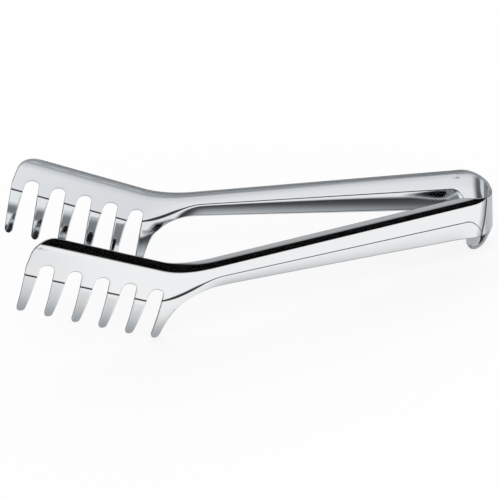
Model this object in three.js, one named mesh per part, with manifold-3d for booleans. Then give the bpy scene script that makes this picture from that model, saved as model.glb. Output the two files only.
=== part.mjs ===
// Spaghetti tongs pressed from one strip of polished stainless steel. The strip is folded round a
// spring bow at the rear. Each arm is a channel-shaped handle that ends in a comb of six tines.
// Axes: +X towards the bow, +Y towards the right arm, +Z up. The tongs stand on the last pair of
// tines and on the hang hook, and the origin lies under the middle of them on that surface.
import * as THREE from 'three';
import { mergeVertices } from 'three/addons/utils/BufferGeometryUtils.js';
import Module from 'manifold-3d';

// Driving dimensions: millimetres and degrees.
// Heights on an arm count from its grip line, the line along the strip where the top curl begins.
const SHEET = 1.2;                // thickness of the strip
const FLEX_SLIT = 0.3;            // gap on each line where an arm flexes against the bow

const BOW_FLAT = 3;               // flat across the very rear of the bow
const BOW_CORNER_RADIUS = 12.0;   // outside radius of the bow's two corners
const BOW_SPRING_ANGLE = 40;      // how far round each corner the strip stays plain and springs
const BOW_RISE = 0.4;             // top edge of the plain strip above the grip line
const BOW_DROP = 16.9;            // lower edge of the plain strip below the grip line

const HOOK_WIDTH = 10.3;          // tongue under the bow, bent forward to hang the tongs by
const HOOK_FOLD_ANGLE = 25;       // forward lean of the tongue where it leaves the bow
const HOOK_FOLD_RADIUS = 2;
const HOOK_RADIUS = 8.6;          // outside of the bend that turns its end level
const HOOK_TIP_ROUND = 4;         // corner radius at its end

const HANDLE_LENGTH = 128.7;      // from the bow to the corner of the neck, along the grip line
const HANDLE_OPENING = 7.5;       // angle of each handle to the middle plane at rest
const REAR_CURL = 6.0;            // width of the top curl at the rear of the handle, along the curve
const REAR_CURL_ANGLE = 83;       // how far it turns inwards there
const REAR_WEB = 6.2;             // flat outer web at the rear
const REAR_FLANGE = 9.7;          // lower flange at the rear
const NECK_CURL = 7.7;            // the same four at the neck
const NECK_CURL_ANGLE = 52;
const NECK_WEB = 1.3;
const NECK_FLANGE = 5.0;
const FOLD_ANGLE = 15;            // inward bend of the lower flange along the handle
const FOLD_WIDTH = 1.2;           // width of the bend itself, along the curve
const CURL_FADE = 4;              // length of the handle, next to the bow, on which the curl runs out

const HEAD_RISE = 28.0;           // angle of the comb up from the handle
const HEAD_OPENING = 2.4;         // angle of each comb to the middle plane at rest
const HEAD_CURL = 6.3;            // top curl of the comb
const HEAD_CURL_ANGLE = 46;
const HEAD_WEB = 12.4;            // flat plate from the curl down to the fold at the tine roots
const HEAD_CORNER = 8.5;          // radius of the upper front corner
const NECK_LEG_HANDLE = 16;       // length of the neck's bend on the handle's side of its corner
const NECK_LEG_HEAD = 13;         // and on the comb's side
const NECK_FILLET = 19;           // how far the fillet behind the last tine runs down that tine

const TINE_COUNT = 6;
const TINE_PITCH = 12;
const TINE_LENGTH = 26.1;         // from the top of a slot to the tip of a tine
const TINE_TIP_RADIUS = 1.75;
const TINE_LEAN = 2.9;            // how far a tip lies behind its root
const TINE_FOLD_ANGLE = 3.0;      // inward bend at the root of the tines
const TINE_CURVE_ANGLE = 18;      // further inward turn from root to tip
const SLOT_RADIUS = 3.2;          // round top of the slots between the tines
const SLOT_TOP = 6.45;            // top of the slots below the grip line
const LAST_TINE_AHEAD = 3.5;      // middle of the last tine's root in front of the neck's corner

// Fineness of the facets
const CORNER_STEPS = 8;
const FADE_STEPS = 3;
const HANDLE_STEPS = 10;
const NECK_STEPS = 12;
const HOOK_STEPS = 8;
const HOOK_TIP_STEPS = 6;
const HOOK_ACROSS_STEPS = 8;
const CURL_STEPS = 8;
const FOLD_STEPS = 2;
const FLANGE_STEPS = 5;
const ARC_SEGMENTS = 10;

const wasm = await Module();
wasm.setup();

const UP = new THREE.Vector3(0, 0, 1);
const radians = THREE.MathUtils.degToRad;
const smooth = (t) => THREE.MathUtils.smoothstep(t, 0, 1);

// Solids from closed geometries, and back
function solidOf(geometry) {
  const bare = geometry.clone();
  bare.deleteAttribute('normal');
  bare.deleteAttribute('uv');
  const merged = mergeVertices(bare);
  return new wasm.Manifold(new wasm.Mesh({
    numProp: 3,
    vertProperties: new Float32Array(merged.attributes.position.array),
    triVerts: new Uint32Array(merged.index.array),
  }));
}

function geometryOf(solid) {
  const mesh = solid.getMesh();
  const geometry = new THREE.BufferGeometry();
  geometry.setAttribute('position', new THREE.BufferAttribute(mesh.vertProperties, 3));
  geometry.setIndex(new THREE.BufferAttribute(mesh.triVerts, 1));
  return geometry;
}

// The same piece on the other side of the middle plane
function mirrored(geometry) {
  const copy = geometry.clone().scale(1, -1, 1);
  const index = copy.index.array;
  for (let i = 0; i < index.length; i += 3) {
    [index[i], index[i + 1]] = [index[i + 1], index[i]];
  }
  return copy;
}

// A bent sheet as a loft of rings. Each ring lists the outer face from one edge to the other as
// { point, normal }, and the inner face lies one sheet thickness behind it.
function sheetGeometry(rings) {
  const across = rings[0].length;
  const around = 2 * across;
  const positions = [];
  for (const ring of rings) {
    const inner = ring.map(({ point, normal }) => point.clone().addScaledVector(normal, -SHEET));
    for (const { point } of ring) positions.push(...point.toArray());
    for (const point of inner.reverse()) positions.push(...point.toArray());
  }
  const index = [];
  const quad = (a, b, c, d) => index.push(a, b, c, a, c, d);
  for (let i = 0; i + 1 < rings.length; i++) {
    const here = i * around;
    const next = here + around;
    for (let k = 0; k < around; k++) {
      const after = (k + 1) % around;
      quad(here + k, next + k, next + after, here + after);
    }
  }
  const last = (rings.length - 1) * around;
  for (let j = 0; j + 1 < across; j++) {
    const inner = around - 1 - j;
    quad(j, j + 1, inner - 1, inner);
    quad(last + j, last + inner, last + inner - 1, last + j + 1);
  }
  const geometry = new THREE.BufferGeometry();
  geometry.setAttribute('position', new THREE.Float32BufferAttribute(positions, 3));
  geometry.setIndex(index);
  return geometry;
}

// The strip's cross-section. A shape names the widths along the curve and the inward turns of the
// top curl, the web, the fold and the lower flange.
const PLAIN = {
  curl: BOW_RISE,
  curlAngle: 0,
  web: REAR_WEB,
  fold: 0,
  flange: BOW_DROP - REAR_WEB - FOLD_WIDTH,
  flangeTurn: 0,
};
const REAR = {
  curl: REAR_CURL,
  curlAngle: REAR_CURL_ANGLE,
  web: REAR_WEB,
  fold: FOLD_ANGLE,
  flange: REAR_FLANGE,
  flangeTurn: 0,
};
const NECK = {
  curl: NECK_CURL,
  curlAngle: NECK_CURL_ANGLE,
  web: NECK_WEB,
  fold: FOLD_ANGLE,
  flange: NECK_FLANGE,
  flangeTurn: 0,
};
const tineTip = SLOT_TOP + TINE_LENGTH;          // depth of the tips below the grip line
const tineRun = tineTip - HEAD_WEB;              // depth of a tine below the fold
const trimAllowance = 5 * SHEET;                 // the sheet runs on past the comb's outline
const HEAD = {
  curl: HEAD_CURL,
  curlAngle: HEAD_CURL_ANGLE,
  web: HEAD_WEB,
  fold: TINE_FOLD_ANGLE,
  flange: tineRun + trimAllowance,
  flangeTurn: TINE_CURVE_ANGLE * (1 + trimAllowance / tineRun),
};

function mixShapes(from, to, share) {
  const shape = {};
  for (const key of Object.keys(from)) shape[key] = THREE.MathUtils.lerp(from[key], to[key], share);
  return shape;
}

// Walks along the section from the grip line, up or down, turning steadily inwards on each run.
// "out" counts away from the other arm.
function traceRuns(runs, upwards) {
  const points = [];
  let out = 0;
  let up = 0;
  let turned = 0;
  for (const { length, turn, steps } of runs) {
    const half = radians(turn) / steps / 2;
    const chord = (length / steps) * (half === 0 ? 1 : Math.sin(half) / half);
    for (let i = 0; i < steps; i++) {
      turned += half;
      out -= chord * Math.sin(turned);
      up += upwards * chord * Math.cos(turned);
      turned += half;
      points.push({ out, up, normalOut: Math.cos(turned), normalUp: upwards * Math.sin(turned) });
    }
  }
  return points;
}

function sectionOf(shape) {
  const upper = traceRuns([{ length: shape.curl, turn: shape.curlAngle, steps: CURL_STEPS }], 1);
  const lower = traceRuns([
    { length: shape.web, turn: 0, steps: 1 },
    { length: FOLD_WIDTH, turn: shape.fold, steps: FOLD_STEPS },
    { length: shape.flange, turn: shape.flangeTurn, steps: FLANGE_STEPS },
  ], -1);
  return [...upper.reverse(), { out: 0, up: 0, normalOut: 1, normalUp: 0 }, ...lower];
}

// The section set square across the grip line at a point, for a strip that runs along "forward"
function ringAt(origin, forward, shape) {
  const up = UP.clone().addScaledVector(forward, -UP.dot(forward)).normalize();
  const out = new THREE.Vector3().crossVectors(up, forward);
  return sectionOf(shape).map((p) => ({
    point: origin.clone().addScaledVector(out, p.out).addScaledVector(up, p.up),
    normal: out.clone().multiplyScalar(p.normalOut).addScaledVector(up, p.normalUp),
  }));
}

// Layout of the left arm's grip line, from the rear of the bow forward.
// The grip line's height puts the last tine's tip on the ground.
const rise = radians(HEAD_RISE);
const opening = radians(HANDLE_OPENING);
const headOpening = radians(HEAD_OPENING);
const handleForward = new THREE.Vector3(-Math.cos(opening), -Math.sin(opening), 0);
const headForward = new THREE.Vector3(
  -Math.cos(rise) * Math.cos(headOpening),
  -Math.cos(rise) * Math.sin(headOpening),
  Math.sin(rise),
);
const headUp = UP.clone().addScaledVector(headForward, -UP.dot(headForward)).normalize();
const lastTipAhead = LAST_TINE_AHEAD - TINE_LEAN;
const gripHeight = TINE_TIP_RADIUS + (tineTip - TINE_TIP_RADIUS) * headUp.z - lastTipAhead * headForward.z;

// A point of the bow, by the angle round its left corner from the flat at the rear
function bowPoint(angle) {
  return new THREE.Vector3(
    BOW_CORNER_RADIUS * (Math.cos(angle) - 1),
    -BOW_FLAT / 2 - BOW_CORNER_RADIUS * Math.sin(angle),
    gripHeight,
  );
}

function bowForward(angle) {
  return new THREE.Vector3(-Math.sin(angle), -Math.cos(angle), 0);
}

const springEnd = radians(BOW_SPRING_ANGLE);
const slitAngle = FLEX_SLIT / BOW_CORNER_RADIUS;
const bowEnd = Math.PI / 2 - opening;
const handleStart = bowPoint(bowEnd);
const neckCorner = handleStart.clone().addScaledVector(handleForward, HANDLE_LENGTH);
const neckStart = neckCorner.clone().addScaledVector(handleForward, -NECK_LEG_HANDLE);
const neckEnd = neckCorner.clone().addScaledVector(headForward, NECK_LEG_HEAD);
const neckCurve = new THREE.QuadraticBezierCurve3(neckStart, neckCorner, neckEnd);
const neckRing = ringAt(neckStart, handleForward, NECK);

// Spring bow: the plain strip between the two lines where the arms flex
function bowGeometry() {
  const reach = springEnd - slitAngle / 2;
  const left = [];
  for (let i = 0; i <= CORNER_STEPS; i++) {
    const angle = (reach * i) / CORNER_STEPS;
    left.push(ringAt(bowPoint(angle), bowForward(angle), PLAIN));
  }
  const acrossMiddle = (v) => new THREE.Vector3(v.x, -v.y, v.z);
  const right = left.map((ring) => ring.map(({ point, normal }) => ({
    point: acrossMiddle(point),
    normal: acrossMiddle(normal),
  })));
  return sheetGeometry([...right.reverse(), ...left]);
}

// Hang hook: a tongue that leaves the bow's lower edge with a lean and bends level on the ground
function hookGeometry() {
  const rootHeight = gripHeight - BOW_DROP;
  const lean = radians(HOOK_FOLD_ANGLE);
  const foldLength = HOOK_FOLD_RADIUS * lean;
  const foldDrop = HOOK_FOLD_RADIUS * Math.sin(lean);
  const foldBack = HOOK_FOLD_RADIUS * (1 - Math.cos(lean));
  const bendLength = HOOK_RADIUS * (Math.PI / 2 - lean);
  const leg = (rootHeight - foldDrop - HOOK_RADIUS * (1 - Math.sin(lean))) / Math.cos(lean);
  const length = foldLength + leg + bendLength;

  // Outer face of the tongue at a distance from its root: forward of the bow, height and turn
  const profileAt = (distance) => {
    if (distance <= foldLength) {
      const turn = distance / HOOK_FOLD_RADIUS;
      const back = HOOK_FOLD_RADIUS * (1 - Math.cos(turn));
      return { back, height: rootHeight - HOOK_FOLD_RADIUS * Math.sin(turn), turn };
    }
    const along = Math.min(distance - foldLength, leg);
    const turn = lean + (distance - foldLength - along) / HOOK_RADIUS;
    const forward = along * Math.sin(lean) + HOOK_RADIUS * (Math.cos(lean) - Math.cos(turn));
    const drop = along * Math.cos(lean) + HOOK_RADIUS * (Math.sin(turn) - Math.sin(lean));
    return { back: foldBack + forward, height: rootHeight - foldDrop - drop, turn };
  };

  // The tongue follows the bow's outline across its width, and its end is rounded
  const bowOutline = (y) => {
    const past = Math.max(0, Math.abs(y) - BOW_FLAT / 2);
    return Math.sqrt(BOW_CORNER_RADIUS ** 2 - past ** 2) - BOW_CORNER_RADIUS;
  };
  const roundStart = length - HOOK_TIP_ROUND;
  const ringAtDistance = (distance) => {
    const { back, height, turn } = profileAt(distance);
    const into = Math.max(0, distance - roundStart);
    const half = HOOK_WIDTH / 2 - HOOK_TIP_ROUND + Math.sqrt(Math.max(0, HOOK_TIP_ROUND ** 2 - into ** 2));
    const normal = new THREE.Vector3(Math.cos(turn), 0, -Math.sin(turn));
    const points = [];
    for (let i = 0; i <= HOOK_ACROSS_STEPS; i++) {
      const y = half * ((2 * i) / HOOK_ACROSS_STEPS - 1);
      points.push({ point: new THREE.Vector3(bowOutline(y) - back, y, height), normal });
    }
    return points;
  };

  const rings = [];
  for (let i = 0; i < FOLD_STEPS; i++) rings.push(ringAtDistance((foldLength * i) / FOLD_STEPS));
  rings.push(ringAtDistance(foldLength));
  const bendStart = foldLength + leg;
  for (let i = 0; i < HOOK_STEPS; i++) {
    rings.push(ringAtDistance(THREE.MathUtils.lerp(bendStart, roundStart, i / HOOK_STEPS)));
  }
  for (let i = 0; i <= HOOK_TIP_STEPS; i++) {
    rings.push(ringAtDistance(roundStart + HOOK_TIP_ROUND * Math.sin((Math.PI / 2) * (i / HOOK_TIP_STEPS))));
  }
  return sheetGeometry(rings);
}

// Left handle: from the flexing line round the rest of the bow's corner and on along the tapered
// channel to the neck. Next to the bow the curl and the flange grow out of the plain strip.
function handleGeometry() {
  const start = springEnd + slitAngle / 2;
  const cornerLength = (bowEnd - start) * BOW_CORNER_RADIUS;
  const handleRun = HANDLE_LENGTH - NECK_LEG_HANDLE;
  const grown = (distance) => smooth(distance / (cornerLength + CURL_FADE));
  const rings = [];
  for (let i = 0; i < CORNER_STEPS; i++) {
    const share = i / CORNER_STEPS;
    const angle = THREE.MathUtils.lerp(start, bowEnd, share);
    const shape = mixShapes(PLAIN, REAR, grown(share * cornerLength));
    rings.push(ringAt(bowPoint(angle), bowForward(angle), shape));
  }
  const addChannelRing = (distance) => {
    const channel = mixShapes(REAR, NECK, distance / handleRun);
    const shape = mixShapes(PLAIN, channel, grown(cornerLength + distance));
    rings.push(ringAt(handleStart.clone().addScaledVector(handleForward, distance), handleForward, shape));
  };
  for (let i = 0; i < FADE_STEPS; i++) addChannelRing((CURL_FADE * i) / FADE_STEPS);
  for (let i = 0; i < HANDLE_STEPS; i++) {
    addChannelRing(THREE.MathUtils.lerp(CURL_FADE, handleRun, i / HANDLE_STEPS));
  }
  return sheetGeometry([...rings, neckRing]);
}

// Outline of the comb in its own plane: x forward from the neck's corner, y up from the grip line
function combOutline() {
  const inCombPlane = (p) => {
    const from = p.clone().sub(neckCorner);
    return new THREE.Vector2(from.dot(headForward), from.dot(headUp));
  };
  const rootHalf = TINE_PITCH / 2 - SLOT_RADIUS;
  const rootHeight = -SLOT_TOP - SLOT_RADIUS;
  const tipHeight = -tineTip + TINE_TIP_RADIUS;
  const front = LAST_TINE_AHEAD + (TINE_COUNT - 1) * TINE_PITCH + rootHalf;
  const top = Math.max(...sectionOf(HEAD).map((p) => p.up));
  const clear = TINE_PITCH;

  const shape = new THREE.Shape();
  shape.moveTo(-NECK_LEG_HANDLE - clear, top + clear);
  shape.lineTo(front - HEAD_CORNER, top + clear);
  shape.lineTo(front - HEAD_CORNER, top);
  shape.absarc(front - HEAD_CORNER, top - HEAD_CORNER, HEAD_CORNER, Math.PI / 2, 0, true);
  for (let tine = 0; tine < TINE_COUNT; tine++) {
    const root = front - rootHalf - tine * TINE_PITCH;
    const tip = root - TINE_LEAN;
    shape.lineTo(root + rootHalf, rootHeight);
    shape.lineTo(tip + TINE_TIP_RADIUS, tipHeight);
    shape.absarc(tip, tipHeight, TINE_TIP_RADIUS, 0, -Math.PI, true);
    if (tine < TINE_COUNT - 1) {
      shape.lineTo(root - rootHalf, rootHeight);
      shape.absarc(root - TINE_PITCH / 2, rootHeight, SLOT_RADIUS, 0, Math.PI, false);
    }
  }

  // Behind the last tine a fillet runs up into the lower edge of the handle
  const edgeAt = (ring) => inCombPlane(ring[ring.length - 1].point);
  const handleEdge = edgeAt(neckRing);
  const rearEdge = edgeAt(ringAt(handleStart, handleForward, REAR));
  const along = handleEdge.clone().sub(rearEdge);
  const tineFoot = new THREE.Vector2(LAST_TINE_AHEAD - TINE_LEAN - TINE_TIP_RADIUS, tipHeight);
  const tineBack = new THREE.Vector2(LAST_TINE_AHEAD - rootHalf, rootHeight);
  const upTine = tineBack.clone().sub(tineFoot);
  const share = upTine.cross(tineFoot.clone().sub(handleEdge)) / upTine.cross(along);
  const corner = handleEdge.clone().addScaledVector(along, share);
  const filletStart = corner.clone().addScaledVector(upTine.clone().normalize(), -NECK_FILLET);
  shape.lineTo(filletStart.x, filletStart.y);
  shape.quadraticCurveTo(corner.x, corner.y, handleEdge.x, handleEdge.y);
  shape.lineTo(handleEdge.x - clear, handleEdge.y - clear);
  return { shape, front };
}

// Left comb: the neck and the head as one bent sheet, trimmed to the outline with its tines
function combGeometry() {
  const { shape, front } = combOutline();
  const handleLeg = handleForward.clone().multiplyScalar(NECK_LEG_HANDLE);
  const headLeg = headForward.clone().multiplyScalar(NECK_LEG_HEAD);
  const rings = [neckRing];
  for (let i = 1; i <= NECK_STEPS; i++) {
    const share = i / NECK_STEPS;
    const forward = handleLeg.clone().lerp(headLeg, share).normalize();
    const section = mixShapes(NECK, HEAD, smooth(share));
    const below = THREE.MathUtils.lerp(NECK.web + NECK.flange, HEAD.web + HEAD.flange, smooth(2 * share));
    section.flange = below - section.web;
    rings.push(ringAt(neckCurve.getPoint(share), forward, section));
  }
  const headEnd = neckCorner.clone().addScaledVector(headForward, front + trimAllowance);
  rings.push(ringAt(headEnd, headForward, HEAD));

  const depth = 4 * TINE_LENGTH;
  const sides = { depth, bevelEnabled: false, curveSegments: ARC_SEGMENTS };
  const prism = new THREE.ExtrudeGeometry(shape, sides);
  const inward = new THREE.Vector3().crossVectors(headForward, headUp);
  const place = new THREE.Matrix4().makeBasis(headForward, headUp, inward);
  place.setPosition(neckCorner.clone().addScaledVector(inward, -depth / 2));
  prism.applyMatrix4(place);
  return geometryOf(solidOf(sheetGeometry(rings)).intersect(solidOf(prism)));
}

// Assembly
function steelPiece(name, geometry) {
  geometry.computeVertexNormals();
  const polished = new THREE.MeshStandardMaterial({ color: 0xc9cacc, roughness: 0.12, metalness: 1 });
  const mesh = new THREE.Mesh(geometry, polished);
  mesh.name = name;
  return mesh;
}

const handle = handleGeometry();
const comb = combGeometry();

const spring = new THREE.Group();
spring.add(steelPiece('spring_bow', bowGeometry()));
spring.add(steelPiece('hang_hook', hookGeometry()));

const leftArm = new THREE.Group();
leftArm.add(steelPiece('left_handle', handle));
leftArm.add(steelPiece('left_comb', comb));

const rightArm = new THREE.Group();
rightArm.add(steelPiece('right_handle', mirrored(handle)));
rightArm.add(steelPiece('right_comb', mirrored(comb)));

const tongs = new THREE.Group();
tongs.add(spring, leftArm, rightArm);

// The origin goes to the middle of the tongs' length, on the surface they stand on
const box = new THREE.Box3().setFromObject(tongs, true);
tongs.position.set(-(box.min.x + box.max.x) / 2, 0, -box.min.z);

export default tongs;
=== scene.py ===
# %% [markdown]
# Spaghetti tongs. The real ones are one strip of stainless steel: it is cut to a flat blank with slots,
# pressed into a channel with a rolled top edge, polished, and folded round a spring bow at the rear.
# This lesson makes them in the same order. A flat grid is cut to a blank, the blank is pressed into
# shape, mirrored for the second arm, and then given its thickness. The frame says where everything goes.

# %% Load the frame
from math import asin, cos, degrees, pi, radians, sin, sqrt

import bmesh
import bpy
from mathutils import Matrix, Vector


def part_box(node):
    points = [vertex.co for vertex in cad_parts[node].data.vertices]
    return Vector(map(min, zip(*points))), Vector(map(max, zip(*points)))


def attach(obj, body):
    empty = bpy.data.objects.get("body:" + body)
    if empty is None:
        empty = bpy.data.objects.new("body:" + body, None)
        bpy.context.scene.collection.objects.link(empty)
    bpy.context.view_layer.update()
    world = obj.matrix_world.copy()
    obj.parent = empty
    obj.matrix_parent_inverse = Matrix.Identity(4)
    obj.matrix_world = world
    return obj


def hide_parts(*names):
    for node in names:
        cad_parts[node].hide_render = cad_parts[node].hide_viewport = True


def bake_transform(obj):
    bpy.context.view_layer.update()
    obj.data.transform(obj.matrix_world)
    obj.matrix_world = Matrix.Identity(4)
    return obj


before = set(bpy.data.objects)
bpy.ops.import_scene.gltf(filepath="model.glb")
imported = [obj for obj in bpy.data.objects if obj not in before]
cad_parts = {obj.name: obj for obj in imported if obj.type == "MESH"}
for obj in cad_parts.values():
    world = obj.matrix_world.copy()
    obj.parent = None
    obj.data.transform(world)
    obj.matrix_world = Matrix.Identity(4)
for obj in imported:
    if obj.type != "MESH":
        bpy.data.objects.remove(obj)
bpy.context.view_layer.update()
scene = bpy.context.scene
scene.view_settings.view_transform = "Standard"
MM = 0.001
REAR_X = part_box("spring_bow")[1].x / MM

# %% [markdown]
# The camera stands where the photograph was taken from. Its place was worked out from the slots, tips
# and edges of both arms, which are mirror images of each other. It looks down at about 35 degrees, is
# rolled by about 6 degrees, and has a long lens, so that the arms keep nearly the same scale.

# %% Camera
CAMERA_PLACE = Vector((-193.40 + REAR_X, -692.68, 512.46))
CAMERA_RIGHT = Vector((0.97993, -0.18146, -0.08253))
CAMERA_DOWN = Vector((-0.17171, -0.55798, -0.81189))
CAMERA_LOOK = Vector((0.10128, 0.80977, -0.57794))

camera = bpy.data.objects.new("camera", bpy.data.cameras.new("camera"))
camera.data.sensor_width = 36
camera.data.lens = 144.58
camera.data.clip_end = 20
turn = Matrix((CAMERA_RIGHT, -CAMERA_DOWN, -CAMERA_LOOK)).transposed()
camera.matrix_world = Matrix.Translation(CAMERA_PLACE * MM) @ turn.to_4x4()
scene.collection.objects.link(camera)
scene.camera = camera
print("camera looks down by", round(degrees(asin(-CAMERA_LOOK.z)), 1), "degrees")

# %% [markdown]
# The strip's sizes, in millimetres and degrees. They are those of the solid model, apart from the fold
# and flange, which are eased into one curve, the slight turn of the web, and the curl, which is tighter
# at the neck. Heights count from the grip line, the line along the strip above which the top edge curls
# in. A shape names the width and the inward turn of each run of the cross-section: a plain rise and the
# curl above the grip line, and the web, the fold and the flange below it.

# %% Sizes of the strip
SHEET = 1.2
BOW_FLAT, BOW_RADIUS, SPRING_ANGLE = 3, 12.0, radians(40)
BOW_RISE, BOW_DROP, REAR_WEB = 0.4, 16.9, 6.2
HOOK_WIDTH, HOOK_LEAN, HOOK_FOLD_RADIUS = 10.3, radians(25), 2
HOOK_RADIUS, HOOK_TIP_ROUND = 8.6, 4
HANDLE_LENGTH, HANDLE_OPENING = 128.7, radians(7.5)
FOLD_WIDTH = 1.2
HEAD_RISE, HEAD_OPENING, HEAD_WEB, HEAD_CORNER = radians(28), radians(2.4), 12.4, 8.5
NECK_LEG_HANDLE, NECK_LEG_HEAD, NECK_FILLET = 16, 13, 19
TINE_COUNT, TINE_PITCH, TINE_LENGTH, TINE_TIP_RADIUS = 6, 12, 26.1, 1.75
TINE_LEAN, TINE_CURVE_ANGLE = 2.9, 18
SLOT_RADIUS, SLOT_TOP, LAST_TINE_AHEAD = 3.2, 6.45, 3.5

TINE_TIP = SLOT_TOP + TINE_LENGTH
TINE_RUN = TINE_TIP - HEAD_WEB
# The sheet goes on past the tips, so that a search for a place on it can overshoot them
ALLOWANCE = 5 * SHEET
PLAIN = dict(rise=0.1, curl=BOW_RISE, curl_turn=0, web=REAR_WEB, web_turn=0, fold=0,
             flange=BOW_DROP - REAR_WEB - FOLD_WIDTH, flange_turn=0)
REAR = dict(rise=0.1, curl=6.0, curl_turn=83, web=REAR_WEB, web_turn=1.5, fold=7.5,
            flange=9.7, flange_turn=5)
NECK = dict(rise=1.8, curl=7.7, curl_turn=72, web=1.3, web_turn=4, fold=7,
            flange=5.0, flange_turn=6)
HEAD = dict(rise=0.1, curl=6.3, curl_turn=46, web=HEAD_WEB, web_turn=0, fold=3.0,
            flange=TINE_RUN + ALLOWANCE, flange_turn=TINE_CURVE_ANGLE * (1 + ALLOWANCE / TINE_RUN))
print("depth of the tips below the grip line:", TINE_TIP, "mm")

# %% [markdown]
# The cross-section of the real strip is a sheet bent in a press, so its length stays the same when it is
# bent. A point on it is found in the same way, by walking along the sheet from the grip line. Each run
# bends by an even curve, so one step along its chord lands exactly on the arc.

# %% Walk along the cross-section
STRAIGHT = 1e-9


def lerp(a, b, share):
    return a + (b - a) * share


def smooth(t):
    t = min(max(t, 0.0), 1.0)
    return t * t * (3 - 2 * t)


def mix_shapes(a, b, share):
    return {key: lerp(a[key], b[key], share) for key in a}


def walk(runs, distance):
    """How far inward and onward a walk along the runs leads. The last run goes on past its end."""
    inward = onward = turned = 0.0
    for length, turn in runs:
        step = distance if (length, turn) == runs[-1] else min(distance, length)
        half = radians(turn) * step / length / 2
        chord = step if abs(half) < STRAIGHT else step * sin(half) / half
        inward += chord * sin(turned + half)
        onward += chord * cos(turned + half)
        turned += 2 * half
        distance -= step
    return inward, onward


def section_point(shape, v):
    """How far out and up a place on the section lies. Its distance from the grip line is v."""
    if v >= 0:
        runs = [(shape["rise"], 0), (shape["curl"] - shape["rise"], shape["curl_turn"])]
        inward, up = walk(runs, v)
        return -inward, up
    runs = [(shape["web"], shape["web_turn"]), (FOLD_WIDTH, shape["fold"]),
            (shape["flange"], shape["flange_turn"])]
    inward, down = walk(runs, -v)
    return -inward, -down


print("top of the comb's curl:", round(section_point(HEAD, HEAD["curl"])[1], 2), "mm above the grip line")

# %% [markdown]
# The grip line of the left arm runs round the bow, straight along the handle, through the bend of the
# neck and straight along the comb. It lies so high that the last tine's tip stands on the floor. The
# section is set square across this line wherever the strip is pressed.

# %% The grip line of the left arm
UP = Vector((0, 0, 1))
handle_forward = Vector((-cos(HANDLE_OPENING), -sin(HANDLE_OPENING), 0))
head_level = cos(HEAD_RISE)
head_forward = Vector((-head_level * cos(HEAD_OPENING), -head_level * sin(HEAD_OPENING), sin(HEAD_RISE)))
head_up = (UP - head_forward * UP.dot(head_forward)).normalized()
tip_height = -TINE_TIP + TINE_TIP_RADIUS
last_tip = LAST_TINE_AHEAD - TINE_LEAN
GRIP_HEIGHT = TINE_TIP_RADIUS - tip_height * head_up.z - last_tip * head_forward.z


def bow_point(angle):
    """A point of the grip line on the bow, by the angle round the bow from its flat rear."""
    along = BOW_RADIUS * sin(angle)
    return Vector((REAR_X + BOW_RADIUS * (cos(angle) - 1), -BOW_FLAT / 2 - along, GRIP_HEIGHT))


bow_end = pi / 2 - HANDLE_OPENING
handle_start = bow_point(bow_end)
neck_corner = handle_start + handle_forward * HANDLE_LENGTH
neck_start = neck_corner - handle_forward * NECK_LEG_HANDLE
neck_end = neck_corner + head_forward * NECK_LEG_HEAD
HANDLE_RUN = HANDLE_LENGTH - NECK_LEG_HANDLE
CORNER_RUN = (bow_end - SPRING_ANGLE) * BOW_RADIUS


def set_across(origin, forward, shape, v):
    """A place on the section, set square across the grip line."""
    up = (UP - forward * UP.dot(forward)).normalized()
    out = up.cross(forward)
    away, rise = section_point(shape, v)
    return origin + out * away + up * rise


def neck_shape(u):
    """The section's shape along the neck. It is as deep as the comb from half way on."""
    share = min(max(u, 0.0), 1.0)
    shape = mix_shapes(NECK, HEAD, smooth(share))
    below = lerp(NECK["web"] + NECK["flange"], HEAD["web"] + HEAD["flange"], smooth(2 * share))
    shape["flange"] = below - shape["web"]
    return shape


def neck_point(u, v):
    """A point of neck and comb: u runs from 0 to 1 through the neck's bend, and on along the comb."""
    if u > 1:
        origin = neck_end + head_forward * (u - 1) * 2 * NECK_LEG_HEAD
        return set_across(origin, head_forward, HEAD, v)
    origin = neck_start.lerp(neck_corner, u).lerp(neck_corner.lerp(neck_end, u), u)
    forward = (handle_forward * NECK_LEG_HANDLE).lerp(head_forward * NECK_LEG_HEAD, u).normalized()
    return set_across(origin, forward, neck_shape(u), v)


def in_comb_plane(point):
    """How far ahead of the neck's corner and how far above it a point lies, along the comb."""
    return (point - neck_corner).dot(head_forward), (point - neck_corner).dot(head_up)


print("grip line", round(GRIP_HEIGHT, 2), "mm above the floor, neck at X", round(neck_corner.x, 1), "mm")

# %% [markdown]
# The comb's outline is drawn flat, in the comb's plane, and the sheet under it is bent. So two small
# searches find the place on the bent sheet that lies under a point of the flat outline: one by halving,
# for a point that keeps to a given row of the section, and one by steps along the slopes, for a point
# given outright.

# %% Find a place on the bent sheet
SHEET_START, SHEET_END = -0.2, 5.0
HALVINGS, SLOPE_STEPS, SMALL_STEP = 36, 14, 1e-4
LONGEST_STEP_ALONG, LONGEST_STEP_DOWN = 0.5, 6.0
NEAR_CORNER = 0.6


def reach(row, target):
    """The place along the neck and comb where a row of the section lies under the outline's target."""
    low, high = SHEET_START, SHEET_END
    for _ in range(HALVINGS):
        u = (low + high) / 2
        ahead, height = in_comb_plane(neck_point(u, row(u)))
        low, high = (u, high) if ahead < target(height) else (low, u)
    return u, row(u)


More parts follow.
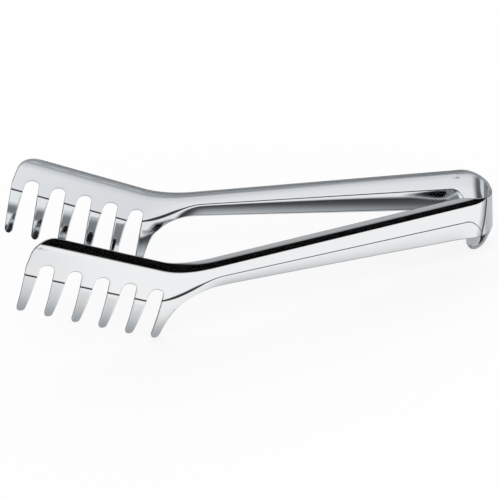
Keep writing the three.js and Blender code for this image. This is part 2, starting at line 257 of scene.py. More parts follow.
def drape(ahead, height, u=None, v=None):
    """The place on the sheet under one point of the flat outline, from a first guess of u and v."""
    u = NEAR_CORNER + ahead / (2 * NECK_LEG_HEAD) if u is None else u
    v = height if v is None else v
    small = SMALL_STEP
    for _ in range(SLOPE_STEPS):
        a, h = in_comb_plane(neck_point(u, v))
        a_u, h_u = in_comb_plane(neck_point(u + small, v))
        a_v, h_v = in_comb_plane(neck_point(u, v + small))
        slopes = Matrix((((a_u - a) / small, (a_v - a) / small), ((h_u - h) / small, (h_v - h) / small)))
        step = slopes.inverted() @ Vector((ahead - a, height - h))
        u += min(max(step.x, -LONGEST_STEP_ALONG), LONGEST_STEP_ALONG)
        v += min(max(step.y, -LONGEST_STEP_DOWN), LONGEST_STEP_DOWN)
    return u, v


print("the last tip lies at", [round(x, 3) for x in drape(last_tip, tip_height)], "on the sheet")

# %% [markdown]
# The blank starts as one flat grid. Its columns cross the strip: round the bow, along the handle and the
# neck, and then tine by tine with the slots between them. Its rows run along the strip: the curl, the
# grip line, the web, the fold and the flange, and below them the tips of the tines or the hang hook.
# Cells that fall into a slot or past an edge are cut out.

# %% Rows of the blank
CURL_ROWS, FOLD_ROWS, FLANGE_ROWS = 6, 2, 4
WEB_ROWS = (0.29, 0.58, 0.875)
GRIP_ROW = CURL_ROWS
SLOT_ROW = GRIP_ROW + len(WEB_ROWS)
FOLD_ROW = SLOT_ROW + FOLD_ROWS
EDGE_ROW = FOLD_ROW + FLANGE_ROWS
LEG_ROWS = (0.22, 0.44, 0.66, 0.84, 1.0)
TIP_ANGLES = (30, 60, 82)
TIP_ROWS = len(LEG_ROWS) + len(TIP_ANGLES)
print(EDGE_ROW + 1, "rows down to the flange's edge, and", TIP_ROWS, "more down a tine")

# %% Columns of the blank
HOOK_SIDE = asin((HOOK_WIDTH - BOW_FLAT) / 2 / BOW_RADIUS)
BOW_SIDE = radians(22)
BOW_ANGLES = (28, 34, 40, 46, 52, 58, 64, 70, 76)
FINE_RUN = 10
FINE_DISTANCES = (0, 0.8, 1.6, 2.4, 3.2, 4, 5, 6, 8, FINE_RUN)
HANDLE_COLUMNS, NECK_COLUMNS = 10, 10
TINE_LINES = (-1, -0.5, 0, 0.5, 1)
FRONT_TINE_LINES = (-1, -0.5, 0, 0.5, 0.8, 0.95, 1)
SLOT_STEP = 30
SLOT_ANGLES = [angle * SLOT_STEP for angle in (5, 4, 3, 2, 1)]

ROOT_HALF = TINE_PITCH / 2 - SLOT_RADIUS
ROOT_HEIGHT = -SLOT_TOP - SLOT_RADIUS
FRONT = LAST_TINE_AHEAD + (TINE_COUNT - 1) * TINE_PITCH + ROOT_HALF

columns = [("flat", 0.0), ("bow", 0.0)]
columns += [("bow", angle) for angle in (HOOK_SIDE / 3, 2 * HOOK_SIDE / 3, HOOK_SIDE, BOW_SIDE)]
columns += [("bow", radians(angle)) for angle in BOW_ANGLES]
columns += [("handle", distance) for distance in FINE_DISTANCES]
columns += [("handle", lerp(FINE_RUN, HANDLE_RUN, i / HANDLE_COLUMNS)) for i in range(1, HANDLE_COLUMNS)]
columns += [("neck", i / NECK_COLUMNS) for i in range(NECK_COLUMNS)]
for tine in reversed(range(TINE_COUNT)):
    places = FRONT_TINE_LINES if tine == 0 else TINE_LINES
    columns += [("tine", tine, place) for place in places]
    if tine > 0:
        columns += [("slot", tine, radians(angle)) for angle in SLOT_ANGLES]
print(len(columns), "columns")

# %% [markdown]
# The hang hook is a tongue that leaves the bow's lower edge with a lean, and bends level on the floor.
# It could be a piece of its own, but on the real tongs it is cut from the same strip, so its rows go on
# below the bow's. Its end is rounded.

# %% Rows of the hang hook
HOOK_BEND_ROWS, HOOK_TIP_ANGLES = 4, (30, 60, 85)
hook_root = GRIP_HEIGHT - BOW_DROP
fold_run = HOOK_FOLD_RADIUS * HOOK_LEAN
fold_drop = HOOK_FOLD_RADIUS * sin(HOOK_LEAN)
bend_run = HOOK_RADIUS * (pi / 2 - HOOK_LEAN)
hook_leg = (hook_root - fold_drop - HOOK_RADIUS * (1 - sin(HOOK_LEAN))) / cos(HOOK_LEAN)
hook_end = fold_run + hook_leg + bend_run
round_start = hook_end - HOOK_TIP_ROUND
bend_start = fold_run + hook_leg
hook_rows = [fold_run, fold_run + hook_leg / 2, bend_start]
hook_rows += [lerp(bend_start, round_start, (i + 1) / HOOK_BEND_ROWS) for i in range(HOOK_BEND_ROWS)]
hook_rows += [round_start + HOOK_TIP_ROUND * sin(radians(angle)) for angle in HOOK_TIP_ANGLES]


def hook_point(share, distance):
    """A point of the hook: a share of its half width, and a distance down from the bow's lower edge."""
    runs = [(fold_run, degrees(HOOK_LEAN)), (hook_leg, 0), (bend_run, 90 - degrees(HOOK_LEAN))]
    back, drop = walk(runs, distance)
    into = min(max(0.0, distance - round_start), HOOK_TIP_ROUND)
    half = HOOK_WIDTH / 2 - HOOK_TIP_ROUND + sqrt(HOOK_TIP_ROUND ** 2 - into ** 2)
    y = half * share
    past = max(0.0, y - BOW_FLAT / 2)
    outline = sqrt(BOW_RADIUS ** 2 - past ** 2) - BOW_RADIUS
    return Vector((REAR_X + outline - back, -y, hook_root - drop))


print("the hook reaches", round(REAR_X - hook_point(0, hook_end).x, 2), "mm forward of the bow's rear")

# %% [markdown]
# Every crossing of a column and a row needs a place on the bent strip. Round the bow the rows are evenly
# spaced; along the handle they gather on the curl and the fold. In the comb the rows above a slot bend
# up round its top, and the rows at the front give way to the rounded upper corner. Points that lie on a
# round edge are set a little outside it, because a subdivision surface draws its edges in.

# %% Rows on the section, and the outlines of tines and slots
ROUND_OUT = 3 / (2 + cos(radians(SLOT_STEP)))
PLATE_ROWS = (1 / 3, 2 / 3, 1)


def rows_of(shape):
    """The distances of all rows from the grip line, along a section of this shape."""
    rows = [shape["curl"] * (1 - r / CURL_ROWS) for r in range(CURL_ROWS + 1)]
    rows += [-shape["web"] * share for share in WEB_ROWS]
    rows += [-shape["web"], -shape["web"] - FOLD_WIDTH]
    fold_end = rows[-1]
    rows += [fold_end - shape["flange"] * (i + 1) / FLANGE_ROWS for i in range(FLANGE_ROWS)]
    return rows


EVEN_ROWS = [BOW_RISE - (BOW_RISE + BOW_DROP) * r / EDGE_ROW for r in range(EDGE_ROW + 1)]


def straight_side(tine, side, height):
    """How far ahead of the neck's corner a tine's rear edge (side -1) or front edge (side 1) lies."""
    root = FRONT - ROOT_HALF - tine * TINE_PITCH
    share = max(0.0, (ROOT_HEIGHT - height) / (ROOT_HEIGHT - tip_height))
    return root - TINE_LEAN * share + side * lerp(ROOT_HALF, TINE_TIP_RADIUS, share)


def top_at(ahead):
    """Top edge of the comb, as a distance up the curl, where the rounded front corner trims it."""
    past = ahead - (FRONT - HEAD_CORNER)
    if past <= 0:
        return HEAD["curl"]
    top = section_point(HEAD, HEAD["curl"])[1]
    height = top - HEAD_CORNER + sqrt(max(0.0, HEAD_CORNER ** 2 - past ** 2))
    if height <= 0:
        return height
    bend = radians(HEAD["curl_turn"])
    arc = HEAD["curl"] - HEAD["rise"]
    over = height - HEAD["rise"]
    return HEAD["rise"] + asin(over * bend / arc) / bend * arc


def plate_rows(ahead, lowest):
    """Rows of the comb's plate from its top edge down to the slot row."""
    rows = rows_of(HEAD)[:GRIP_ROW + 1] + [lowest * share for share in PLATE_ROWS]
    stretch = (top_at(ahead) - lowest) / (HEAD["curl"] - lowest)
    return [lowest + (v - lowest) * stretch for v in rows]


print("the comb's front edge is", round(FRONT, 1), "mm ahead of the neck's corner")

# %% [markdown]
# Behind the last tine a wide fillet sweeps up into the handle's lower edge. Its lower part is the rear
# edge of the last tine. From the join upwards it is the lower edge of the neck. A curve cut across the
# grid would leave slivers, so the columns of the neck end on the curve itself.

# %% The fillet behind the last tine
LAST = TINE_COUNT - 1
FILLET_JOIN = 0.3
handle_edge = Vector(in_comb_plane(neck_point(0, rows_of(NECK)[EDGE_ROW])))
rear_edge = Vector(in_comb_plane(set_across(handle_start, handle_forward, REAR, rows_of(REAR)[EDGE_ROW])))
along = handle_edge - rear_edge
tine_foot = Vector((straight_side(LAST, -1, tip_height), tip_height))
up_tine = Vector((straight_side(LAST, -1, ROOT_HEIGHT), ROOT_HEIGHT)) - tine_foot
share = up_tine.cross(tine_foot - handle_edge) / up_tine.cross(along)
fillet_corner = handle_edge + along * share
fillet_start = fillet_corner - up_tine.normalized() * NECK_FILLET


def on_fillet(share):
    """A point of the fillet's curve, from the last tine, 0, to the handle's lower edge, 1."""
    first = fillet_start.lerp(fillet_corner, share)
    return first.lerp(fillet_corner.lerp(handle_edge, share), share)


def rear_of_last(height):
    """How far ahead the rear edge of the last tine lies, with the lower part of the fillet on it."""
    if height <= fillet_start.y:
        return straight_side(LAST, -1, height)
    low, high = 0.0, FILLET_JOIN
    for _ in range(HALVINGS):
        share = (low + high) / 2
        low, high = (share, high) if on_fillet(share).y < height else (low, share)
    return on_fillet(share).x


def tine_side(tine, place, height):
    """How far ahead a line down a tine lies, by its place from the rear edge, -1, to the front edge, 1."""
    rear = rear_of_last(height) if tine == LAST else straight_side(tine, -1, height)
    return lerp(rear, straight_side(tine, 1, height), (place + 1) / 2)


leg_top = on_fillet(FILLET_JOIN).y
print("the fillet leaves the last tine", round(-fillet_start.y, 1), "mm below the grip line")

# %% [markdown]
# Three kinds of column make the comb and its neck. A column down a tine keeps its place between the
# tine's two edges, down to the rounded tip. A column over a slot ends on the slot's round top. A column
# of the neck ends on the fillet. Drawing all of them by hand would give the same grid, but only for one
# size of tongs.

# %% Places on the bent sheet for tines and slots
def tine_place(tine, place, row):
    """Down a tine, by the place between its rear edge, -1, and its front edge, 1."""
    def side(height):
        return tine_side(tine, place, height)

    if tine < LAST and row <= SLOT_ROW:
        ahead = side(0)
        v = plate_rows(ahead, ROOT_HEIGHT)[row]
        return 1 + (ahead - NECK_LEG_HEAD) / (2 * NECK_LEG_HEAD), v
    if row == SLOT_ROW and place == 1:
        return drape(side(ROOT_HEIGHT), ROOT_HEIGHT)
    if row <= FOLD_ROW:
        return reach(lambda u: rows_of(neck_shape(u))[row], side)
    low = drape(side(leg_top), leg_top)
    if row < EDGE_ROW:
        down = (row - FOLD_ROW) / FLANGE_ROWS
        return reach(lambda u: lerp(rows_of(neck_shape(u))[FOLD_ROW], low[1], down), side)
    if row == EDGE_ROW:
        return low
    leg_row = row - EDGE_ROW - 1
    if leg_row < len(LEG_ROWS):
        height = lerp(leg_top, tip_height, LEG_ROWS[leg_row])
        return drape(side(height), height, *low)
    angle = radians(TIP_ANGLES[leg_row - len(LEG_ROWS)])
    middle = tine_side(tine, 0, tip_height)
    radius = TINE_TIP_RADIUS * ROUND_OUT
    return drape(middle + place * radius * cos(angle), tip_height - radius * sin(angle), *low)


def slot_place(tine, angle, row):
    """Above the slot behind a tine: the slot row follows the slot's round top."""
    radius = SLOT_RADIUS * ROUND_OUT
    middle = FRONT - ROOT_HALF - (tine - 0.5) * TINE_PITCH
    ahead = middle + radius * cos(angle)
    lowest = ROOT_HEIGHT + radius * sin(angle)
    if ahead >= NECK_LEG_HEAD:
        return 1 + (ahead - NECK_LEG_HEAD) / (2 * NECK_LEG_HEAD), plate_rows(ahead, lowest)[row]
    if row <= GRIP_ROW:
        return reach(lambda u: rows_of(neck_shape(u))[row], lambda height: ahead)
    return drape(ahead, lowest * (row - GRIP_ROW) / (SLOT_ROW - GRIP_ROW))


print("the fillet's join lies at", [round(x, 2) for x in tine_place(LAST, -1, EDGE_ROW)], "on the sheet")

# %% Places on the bent sheet for the neck
BENT_DEEPER = 4


def neck_place(share, row):
    """Between the handle and the last tine, whose rear edge the last column of the neck meets."""
    tine_u, _ = tine_place(LAST, -1, min(row, FOLD_ROW))
    u = tine_u * share
    v = rows_of(neck_shape(u))[min(row, FOLD_ROW)]
    if row <= FOLD_ROW:
        return u, v
    edge = on_fillet(lerp(1, FILLET_JOIN, share))
    low_u, low_v = drape(edge.x, edge.y, share * NEAR_CORNER, edge.y - BENT_DEEPER)
    down = (row - FOLD_ROW) / FLANGE_ROWS
    u = lerp(u, low_u, down)
    return u, lerp(rows_of(neck_shape(u))[FOLD_ROW], low_v, down)


print("the neck's lower edge starts at", [round(x, 2) for x in neck_place(0, EDGE_ROW)], "on the sheet")

# %% [markdown]
# Pressing: each point of the blank moves to its place. On the way two marks are kept for the painted
# shade lines, both in millimetres: how far a point lies from the pressed fold line, and how far past the
# bow's corner line it is. The corner line slants over the bow where the strip was bent round. The fold
# line runs down to meet it, as the channel opens out into the plain bow.

# %% Marks for the painted shade along the fold line and the corner line
FAR = 30.0
FINE_FOLD, BROAD_FOLD = 1.5, 0.45
BROAD_FROM, BROAD_UNTIL, PLAIN_FROM = 0.4, 0.6, 0.6 + 1 / 3
CORNER_TOP, CORNER_LOW, CORNER_DEPTH = radians(53), radians(64.5), 15
FOLD_MEETS_CORNER = (CORNER_LOW - SPRING_ANGLE) * BOW_RADIUS
FOLD_SWEEP, FOLD_FALL = 7.4, 16


def fold_line(shape, distance):
    """How low the fold line lies at a distance from the spring line."""
    swept = (distance - FOLD_MEETS_CORNER) / FOLD_SWEEP
    if swept < 0:
        return -CORNER_DEPTH + FOLD_FALL * swept
    return lerp(-CORNER_DEPTH, -shape["web"] - FOLD_WIDTH / 2, 1 - max(0.0, 1 - swept) ** 2)


def corner_line(v):
    """How far from the spring line the bow's corner line crosses a height."""
    return (lerp(CORNER_TOP, CORNER_LOW, -v / CORNER_DEPTH) - SPRING_ANGLE) * BOW_RADIUS


def fold_fineness(u):
    """The painted shade along the fold line is fine on the handle, broad in the neck's bend, and in
    between on the comb.
    """
    if u < BROAD_UNTIL:
        return lerp(FINE_FOLD, BROAD_FOLD, smooth(u / BROAD_FROM))
    return lerp(BROAD_FOLD, 1, smooth((u - BROAD_UNTIL) / (PLAIN_FROM - BROAD_UNTIL)))


print("the corner line crosses the grip line", round(corner_line(0), 1), "mm past the spring line")

# %% Press a point of the blank
GROWTH_START, GROWTH_END = -6.5, CORNER_RUN + 9


def grown(distance):
    """How far the channel has grown out of the plain bow, at a distance from the spring line."""
    return smooth((distance - GROWTH_START) / (GROWTH_END - GROWTH_START))


def press(column, row):
    """Where a point of the blank goes, with its marks for the painted shade along the fold line and the
    corner line.
    """
    kind, value = column[0], column[1]
    if row > EDGE_ROW and kind in ("flat", "bow"):
        y = -bow_point(value).y if kind == "bow" else 0.0
        return hook_point(2 * y / HOOK_WIDTH, hook_rows[row - EDGE_ROW - 1]), FAR, -FAR
    if kind == "flat":
        middle = Vector((REAR_X, 0, GRIP_HEIGHT))
        return set_across(middle, Vector((0, -1, 0)), PLAIN, EVEN_ROWS[row]), FAR, -FAR
    if kind in ("bow", "handle"):
        distance = (value - SPRING_ANGLE) * BOW_RADIUS if kind == "bow" else CORNER_RUN + value
        share = grown(distance)
        channel = mix_shapes(REAR, NECK, max(0.0, distance - CORNER_RUN) / HANDLE_RUN)
        shape = mix_shapes(PLAIN, channel, share)
        v = lerp(EVEN_ROWS[row], rows_of(channel)[row], share)
        if kind == "bow":
            origin, forward = bow_point(value), Vector((-sin(value), -cos(value), 0))
        else:
            origin, forward = handle_start + handle_forward * value, handle_forward
        fold = (v - fold_line(channel, distance)) * FINE_FOLD
        return set_across(origin, forward, shape, v), fold, distance - corner_line(v)
    if kind == "neck":
        u, v = neck_place(value, row)
    elif kind == "tine":
        u, v = tine_place(value, column[2], row)
    else:
        u, v = slot_place(value, column[2], row)
    line = -neck_shape(u)["web"] - FOLD_WIDTH / 2
    return neck_point(u, v), (v - line) * fold_fineness(u), FAR


print("a rear corner of the strip:", [round(x, 1) for x in press(("bow", BOW_SIDE), 0)[0]])

# %% [markdown]
# The real blank is punched out of flat sheet. Here a grid is made flat, the cells in the slots and
# beside the hook are deleted, and the rest is pressed. Cutting slots into the finished shape with a
# boolean would also do it, but would leave ragged faces along the cuts, which a mirror finish shows.

# %% Cut the blank
PARTS = ("bow", "left", "right")
rows = EDGE_ROW + 1 + max(TIP_ROWS, len(hook_rows))


def is_steel(column, row):
    """Whether the cell between this column and the next, and this row and the next, is left standing."""
    here, after = columns[column], columns[column + 1]
    if row < SLOT_ROW:
        return True
    if row < EDGE_ROW:
        return "slot" not in (here[0], after[0])
    if row < EDGE_ROW + len(hook_rows) and after[0] == "bow" and after[1] <= HOOK_SIDE:
        return True
    in_tine = here[0] == after[0] == "tine" and here[1] == after[1]
    return in_tine and row < EDGE_ROW + TIP_ROWS


strip = bmesh.new()
bmesh.ops.create_grid(strip, x_segments=len(columns) - 1, y_segments=rows - 1, size=1)


def cell(point):
    """Which column and row a point of the flat grid lies on."""
    return (point.x + 1) / 2 * (len(columns) - 1), (1 - point.y) / 2 * (rows - 1)


waste = []
for face in strip.faces:
    column, row = cell(face.calc_center_median())
    in_bow = int(column) < columns.index(("bow", BOW_SIDE))
    face.material_index = PARTS.index("bow" if in_bow else "left")
    if not is_steel(int(column), int(row)):
        waste.append(face)
bmesh.ops.delete(strip, geom=waste, context="FACES")
print(len(waste), "cells cut away,", len(strip.faces), "left")

# %% Press the blank
# The two marks say where the shade lines are painted: millimetres from the fold line, and past the bow's
# corner line
fold_shade_mark = strip.verts.layers.float.new("fold")
corner_shade_mark = strip.verts.layers.float.new("corner")
for vert in strip.verts:
    column, row = cell(vert.co)
    vert.co, vert[fold_shade_mark], vert[corner_shade_mark] = press(columns[round(column)], round(row))
print("pressed", len(strip.verts), "points")

# %% [markdown]
# The second arm is the mirror image, joined on the middle plane of the bow. The faces are then turned to
# point outwards, away from the space between the arms, so that the thickness can be added on the inside.
# Nine plain material slots, a finish for each part of the strip, keep track of the faces through the
# next steps.

# %% Mirror the arm
FINISHES = ("outside", "inside", "edge")
MERGE = 0.001
whole = strip.faces[:] + strip.edges[:] + strip.verts[:]
bmesh.ops.mirror(strip, geom=whole, axis="Y", merge_dist=MERGE)
bmesh.ops.recalc_face_normals(strip, faces=strip.faces)
rear_face = max(strip.faces, key=lambda face: face.calc_center_median().x)
if rear_face.normal.x < 0:
    bmesh.ops.reverse_faces(strip, faces=strip.faces)
for face in strip.faces:
    face.smooth = True
    if face.material_index == PARTS.index("left") and face.calc_center_median().y > 0:
        face.material_index = PARTS.index("right")
bmesh.ops.scale(strip, vec=(MM, MM, MM), verts=strip.verts)

blank = bpy.data.meshes.new("strip")
strip.to_mesh(blank)
strip.free()
tongs = bpy.data.objects.new("strip", blank)
scene.collection.objects.link(tongs)
for finish in FINISHES:
    for name in PARTS:
        blank.materials.append(bpy.data.materials.new(name + " " + finish))
print("the strip has", len(blank.polygons), "faces")

# %% [markdown]
# Solidify gives the sheet its thickness, and shifts the material slots, so that the inside and the cut
# edges can have finishes of their own. The rim edges get a half crease, so that the subdivision surface
# that follows rounds them only a little, as polishing does with a cut edge. A bevel would round them
# too, but it would run into the small faces at the tips.

# %% Thickness and smooth surface
RIM_CREASE = 0.45
thickness = tongs.modifiers.new("thickness", "SOLIDIFY")
thickness.thickness = SHEET * MM
thickness.offset = -1
thickness.use_even_offset = True
thickness.material_offset = FINISHES.index("inside") * len(PARTS)
thickness.material_offset_rim = FINISHES.index("edge") * len(PARTS)
thickness.edge_crease_inner = RIM_CREASE
thickness.edge_crease_outer = RIM_CREASE
surface = tongs.modifiers.new("surface", "SUBSURF")
surface.levels = 2
surface.render_levels = 2
depsgraph = bpy.context.evaluated_depsgraph_get()
finished = bpy.data.meshes.new_from_object(tongs.evaluated_get(depsgraph))
bpy.data.objects.remove(tongs)
print("finished strip:", len(finished.polygons), "faces")

# %% [markdown]
# The strip is one piece of steel, but three bodies carry it: the bow, and an arm on each side that
# flexes. So the finished skin is parted on two lines on the bow. Each part keeps the normals of the
# whole skin, which leaves no line in the reflections, and its cut is closed.

# %% Part the strip into the bow and the two arms
keep = finished.attributes.new("kept_normal", "FLOAT_VECTOR", "CORNER")
keep.data.foreach_set("vector", [x for normal in finished.corner_normals for x in normal.vector])


def part(name, kept_part):
    """One part of the finished skin, as an object of its own, with its faces numbered by finish."""
    index = PARTS.index(kept_part)
    bm = bmesh.new()
    bm.from_mesh(finished)
    others = [face for face in bm.faces if face.material_index % len(PARTS) != index]
    bmesh.ops.delete(bm, geom=others, context="FACES")
    for face in bm.faces:
        face.material_index = face.material_index // len(PARTS)
    open_edges = [edge for edge in bm.edges if edge.is_boundary]
    layer = bm.loops.layers.float_vector["kept_normal"]
    for face in bmesh.ops.holes_fill(bm, edges=open_edges)["faces"]:
        face.smooth = False
        face.material_index = FINISHES.index("edge")
        for corner in face.loops:
            corner[layer] = Vector()
    mesh = bpy.data.meshes.new(name)
    bm.to_mesh(mesh)
    bm.free()
    kept = mesh.attributes["kept_normal"]
    mesh.normals_split_custom_set([corner.vector for corner in kept.data])
    mesh.attributes.remove(mesh.attributes["kept_normal"])
    piece = bpy.data.objects.new(name, mesh)
    scene.collection.objects.link(piece)
    print(name, len(mesh.polygons), "faces")
    return piece


bow = part("spring_bow_with_hook", "bow")
left = part("left_arm_strip", "left")
right = part("right_arm_strip", "right")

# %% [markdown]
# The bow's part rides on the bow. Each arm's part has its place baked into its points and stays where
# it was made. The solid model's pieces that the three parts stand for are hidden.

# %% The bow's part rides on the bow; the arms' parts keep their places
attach(bow, "bow")
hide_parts("spring_bow", "hang_hook")
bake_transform(left)
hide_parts("left_handle", "left_comb")
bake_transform(right)
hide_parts("right_handle", "right_comb")

# %% [markdown]
# Colours are written as hex values, as a paint program shows them, while Blender reckons in linear
# light, so one function turns the one into the other. Another adds a node with its settings and its
# links.

# %% Helpers for colours and nodes
def hex_colour(code):
    """Linear values of an sRGB hex colour."""
    values = [int(code[i:i + 2], 16) / 255 for i in (1, 3, 5)]
    return [v / 12.92 if v <= 0.04045 else ((v + 0.055) / 1.055) ** 2.4 for v in values] + [1]


def add(tree, kind, links=None, **settings):
    """A new node. An input is given another node's output to link, or a plain value."""
    node = tree.nodes.new(kind)
    for key, value in settings.items():
        setattr(node, key, value)
    for key, value in (links or {}).items():
        if isinstance(value, bpy.types.NodeSocket):
            tree.links.new(value, node.inputs[key])
        else:
            node.inputs[key].default_value = value
    return node


print("a middle grey is", round(hex_colour("#808080")[0], 3), "in linear light")

# %% [markdown]
# Tones that change with a distance or an angle come from a colour ramp: a list gives where each tone
# sits and how bright it is. Dark tones are tinted a little towards blue, as the dark parts of the
# photographed steel are.

# %% Tones by a value
COOL = (0.94, 1.0, 1.05)


def grey_ramp(tree, value, stops, low, high):
    """Greys by a value between low and high."""
    place = add(tree, "ShaderNodeMapRange", {"Value": value, "From Min": low, "From Max": high})
    ramp = add(tree, "ShaderNodeValToRGB", {"Fac": place.outputs[0]})
    elements = ramp.color_ramp.elements
    elements.remove(elements[1])
    for number, (at, grey) in enumerate(stops):
        stop = elements.new((at - low) / (high - low)) if number else elements[0]
        stop.position = (at - low) / (high - low)
        stop.color = [grey * lerp(tint, 1, grey) for tint in COOL] + [1]
    return ramp.outputs[0]


print("the darkest tones are", round(COOL[2] / COOL[0], 2), "times as blue as they are red")

# %% [markdown]
# The finish is stainless steel 18/10, polished to a mirror. To the eye that is almost only reflection:
# white where it faces the floor, black where it faces the dark room. What the surface adds is slight:
# long faint polishing streaks that soften the mirror a little, and painted shade: a thin dark line painted
# along the pressed fold line, and a darker line painted along the corner where the strip was bent round
# the bow, with a soft band of painted shade beside it. These painted lines stand in for the shade and dark
# reflections of the bends. They are finer than the mesh's faces, so they are drawn from the marks that
# pressing left on the points.

# %% Polished stainless steel
STREAK_LENGTH, STREAK_WIDTH = 30 * MM, 0.9 * MM
STREAK_LOW, STREAK_HIGH = 0.3, 0.7
# Painted shade: the dark grey that the steel is painted in along the fold line and the corner line
PAINTED_SHADE_GREY = "#2c2e31"
LINE_REACH = 6
# How clear of painted shade the steel is, by its millimetres from a line. The corner's tones add a soft
# band of painted shade on its handle side
FOLD_SHADE_TONES = ((-0.5, 1.0), (-0.22, 0.0), (0.22, 0.0), (0.5, 1.0))
CORNER_SHADE_TONES = ((-0.5, 1.0), (-0.25, 0.05), (0.25, 0.05), (0.6, 0.5), (3.5, 1.0))


def painted_line_shade(tree, name, stops):
    """Painted shade beside a pressed line, by the millimetres that the mark gives."""
    mark = add(tree, "ShaderNodeAttribute", attribute_name=name)
    return grey_ramp(tree, mark.outputs["Fac"], stops, -LINE_REACH, LINE_REACH)


def stainless_steel(name, colour, smoothest, roughest, metallic=1.0, corner=False):
    """Steel with faint streaks along the strip, with painted shade in the fold line and, if asked, along
    the corner line.
    """
    material = bpy.data.materials.new(name)
    material.use_nodes = True
    tree = material.node_tree
    tree.nodes.clear()
    place = add(tree, "ShaderNodeTexCoord").outputs["Object"]
    streak_scale = (1 / STREAK_LENGTH, 1 / STREAK_WIDTH, 1 / STREAK_WIDTH)
    along_strip = add(tree, "ShaderNodeMapping", {"Vector": place, "Scale": streak_scale})
    streaks = add(tree, "ShaderNodeTexNoise", {
        "Vector": along_strip.outputs[0], "Scale": 1.0, "Detail": 3.0})
    rough = add(tree, "ShaderNodeMapRange", {
        "Value": streaks.outputs[0], "From Min": STREAK_LOW, "From Max": STREAK_HIGH,
        "To Min": smoothest, "To Max": roughest})
    # Painted shade: the base colour turns dark grey along the fold line, and on the outside along the
    # bow's corner line, with a soft shaded band beside it
    clear = painted_line_shade(tree, "fold", FOLD_SHADE_TONES)
    if corner:
        corner_shade = painted_line_shade(tree, "corner", CORNER_SHADE_TONES)
        clear = add(tree, "ShaderNodeMath", {0: clear, 1: corner_shade}, operation="MULTIPLY").outputs[0]
    steel = add(tree, "ShaderNodeMix", {
        "Factor": clear, 6: hex_colour(PAINTED_SHADE_GREY), 7: hex_colour(colour)}, data_type="RGBA")
    shade = add(tree, "ShaderNodeBsdfPrincipled", {
        "Base Color": steel.outputs[2], "Metallic": metallic, "Roughness": rough.outputs[0]})
    add(tree, "ShaderNodeOutputMaterial", {"Surface": shade.outputs[0]})
    return material


# The outside was buffed on a wheel: nearly white, with a slight bloom
outside = stainless_steel("polished_steel_outside", "#f0f1f2", 0.06, 0.11, corner=True)
# The inside keeps the mirror of the polished sheet and is sharp; it is a little greyer as painted shade of
# the inner faces
inside = stainless_steel("polished_steel_inside", "#e2e5e8", 0.03, 0.06)
# The cut edges were only tumbled: a dull line, half metallic so that it stays grey in the dark
cut_edge = stainless_steel("tumbled_steel_edge", "#aeb2b6", 0.3, 0.4, metallic=0.5)
for piece in (bow, left, right):
    for material in (outside, inside, cut_edge):
        piece.data.materials.append(material)
print("the steel has", len(outside.node_tree.nodes), "nodes")

# %% [markdown]
# The tongs stand on white paper under even light, as in a product photograph. The paper shows the camera
# mostly plain white, and keeps a share of its own shading, so that a faint shadow stays. Mirrors don't
# see it: they see the room of the next step, which has its own bright floor.

# %% Floor
FLOOR_RADIUS, FLOOR_CORNERS = 4, 96
PLAIN_WHITE_SHARE = 0.75
plane = bmesh.new()
bmesh.ops.create_circle(plane, cap_ends=True, segments=FLOOR_CORNERS, radius=FLOOR_RADIUS)
ground = bpy.data.meshes.new("floor")
plane.to_mesh(ground)
plane.free()
floor = bpy.data.objects.new("floor", ground)
floor.visible_glossy = False
scene.collection.objects.link(floor)
paper = bpy.data.materials.new("white_paper")
paper.use_nodes = True
tree = paper.node_tree
tree.nodes.clear()
path = add(tree, "ShaderNodeLightPath")
seen = add(tree, "ShaderNodeMath", {
    0: path.outputs["Is Camera Ray"], 1: PLAIN_WHITE_SHARE}, operation="MULTIPLY")
matt = add(tree, "ShaderNodeBsdfDiffuse", {"Color": hex_colour("#fbfbfb")})
white = add(tree, "ShaderNodeEmission", {"Color": (1, 1, 1, 1), "Strength": 1.0})
blended = add(tree, "ShaderNodeMixShader", {0: seen.outputs[0], 1: matt.outputs[0], 2: white.outputs[0]})
add(tree, "ShaderNodeOutputMaterial", {"Surface": blended.outputs[0]})
ground.materials.append(paper)
print("floor", round(floor.dimensions.x, 1), "m across")

# %% [markdown]
# Polished steel needs something to mirror. A room built of walls and lamps would do, but its walls would
# also change the light, so the room is painted on the world, for mirrored rays alone. Its front is
# bright below the horizon and dark above it, which draws the black band along the near arm's rolled top
# edge, and has a pale ceiling, which draws the grey band over it. The comb's side and the handle's side,
# which the far arm mirrors, have dark and bright stripes, and the back is grey and dark, so that the far
# tines end in black and the bow turns grey.

# %% Tones of the room
# Each list gives how bright the room is by the sine of the angle above the horizon
FRONT_ROOM = ((-1.0, 0.2), (-0.975, 0.35), (-0.94, 0.55), (-0.9, 0.75), (-0.857, 0.88), (-0.8, 0.95),
              (-0.66, 0.98), (-0.25, 0.98), (-0.14, 0.9), (-0.05, 0.0), (0.8, 0.0), (0.89, 0.33),
              (1.0, 0.4))
COMB_SIDE = ((-1.0, 0.05), (-0.975, 0.14), (-0.94, 0.26), (-0.9, 0.42), (-0.83, 0.62), (-0.7, 0.9),
             (-0.64, 0.96), (-0.6, 0.88), (-0.52, 0.85), (-0.44, 0.28), (-0.21, 0.22), (-0.185, 0.95),
             (-0.075, 0.95), (-0.05, 0.0), (0.8, 0.0), (0.89, 0.33), (1.0, 0.4))
HANDLE_SIDE = ((-1.0, 0.1), (-0.975, 0.18), (-0.94, 0.3), (-0.9, 0.46), (-0.83, 0.64), (-0.7, 0.8),
               (-0.64, 0.8), (-0.58, 0.82), (-0.53, 0.96), (-0.44, 1.0), (-0.24, 1.0), (-0.215, 0.03),
               (-0.16, 0.12), (-0.1, 0.4), (-0.03, 0.65), (0.02, 0.0), (0.8, 0.0), (0.89, 0.33),
               (1.0, 0.4))
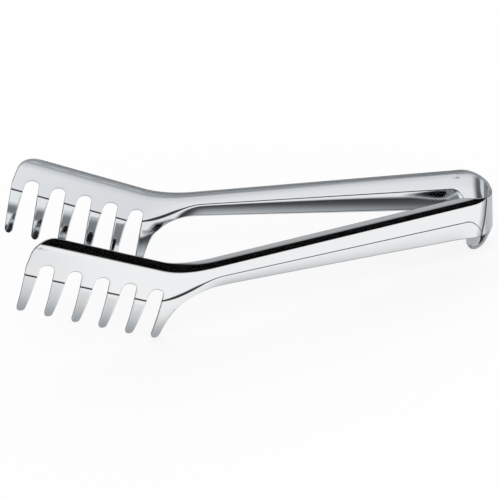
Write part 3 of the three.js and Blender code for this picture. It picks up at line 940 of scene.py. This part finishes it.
BACK_ROOM = ((-1.0, 0.45), (-0.975, 0.48), (-0.9, 0.58), (-0.6, 0.62), (-0.45, 0.6), (-0.3, 0.3),
             (-0.2, 0.1), (0.0, 0.03), (0.3, 0.03), (0.4, 0.6), (0.7, 0.5), (1.0, 0.4))
BACK_TILT = -0.4
world = bpy.data.worlds.new("room")
scene.world = world
world.use_nodes = True
tree = world.node_tree
tree.nodes.clear()
path = add(tree, "ShaderNodeLightPath")
direction = add(tree, "ShaderNodeTexCoord").outputs["Generated"]
lengthwise, away, height = add(tree, "ShaderNodeSeparateXYZ", {0: direction}).outputs
back_height = add(tree, "ShaderNodeMath", {
    0: lengthwise, 1: BACK_TILT, 2: height}, operation="MULTIPLY_ADD")
front, comb_side, handle_side = [
    grey_ramp(tree, height, stops, -1, 1) for stops in (FRONT_ROOM, COMB_SIDE, HANDLE_SIDE)]
back = grey_ramp(tree, back_height.outputs[0], BACK_ROOM, -1, 1)
print("tones of", len((front, comb_side, handle_side, back)), "sides of the room")

# %% [markdown]
# The four sides meet in soft borders. Where a mirrored ray goes decides which side it sees: first the
# comb's side or the handle's side, then one of these or the front, and last any of these or the back.
# All other rays, which light the scene, see an even white.

# %% Room
# Each border says from where to where one side of the room fades into the next
COMB_BORDER = (0.02, 0.06)
FRONT_BORDER, FRONT_TILT = (0.275, 0.235), -0.3
BACK_BORDER = (-0.5, 0.0)
EVEN_LIGHT = 1.02
tilted = add(tree, "ShaderNodeMath", {
    0: height, 1: FRONT_TILT, 2: lengthwise}, operation="MULTIPLY_ADD")


def border(value, span, before, after):
    """One side of the room before a border and another after it."""
    past = add(tree, "ShaderNodeMapRange", {
        "Value": value, "From Min": span[0], "From Max": span[1]}, interpolation_type="SMOOTHSTEP")
    meeting = add(tree, "ShaderNodeMix", {
        "Factor": past.outputs[0], 6: before, 7: after}, data_type="RGBA")
    return meeting.outputs[2]


inner = border(lengthwise, COMB_BORDER, handle_side, comb_side)
outer = border(tilted.outputs[0], FRONT_BORDER, front, inner)
walls = border(away, BACK_BORDER, outer, back)
even = add(tree, "ShaderNodeBackground", {"Color": (1, 1, 1, 1), "Strength": EVEN_LIGHT})
mirrored_room = add(tree, "ShaderNodeBackground", {"Color": walls, "Strength": 1.0})
lit = add(tree, "ShaderNodeMixShader", {
    0: path.outputs["Is Glossy Ray"], 1: even.outputs[0], 2: mirrored_room.outputs[0]})
add(tree, "ShaderNodeOutputWorld", {"Surface": lit.outputs[0]})
print("room has", len(tree.nodes), "nodes")
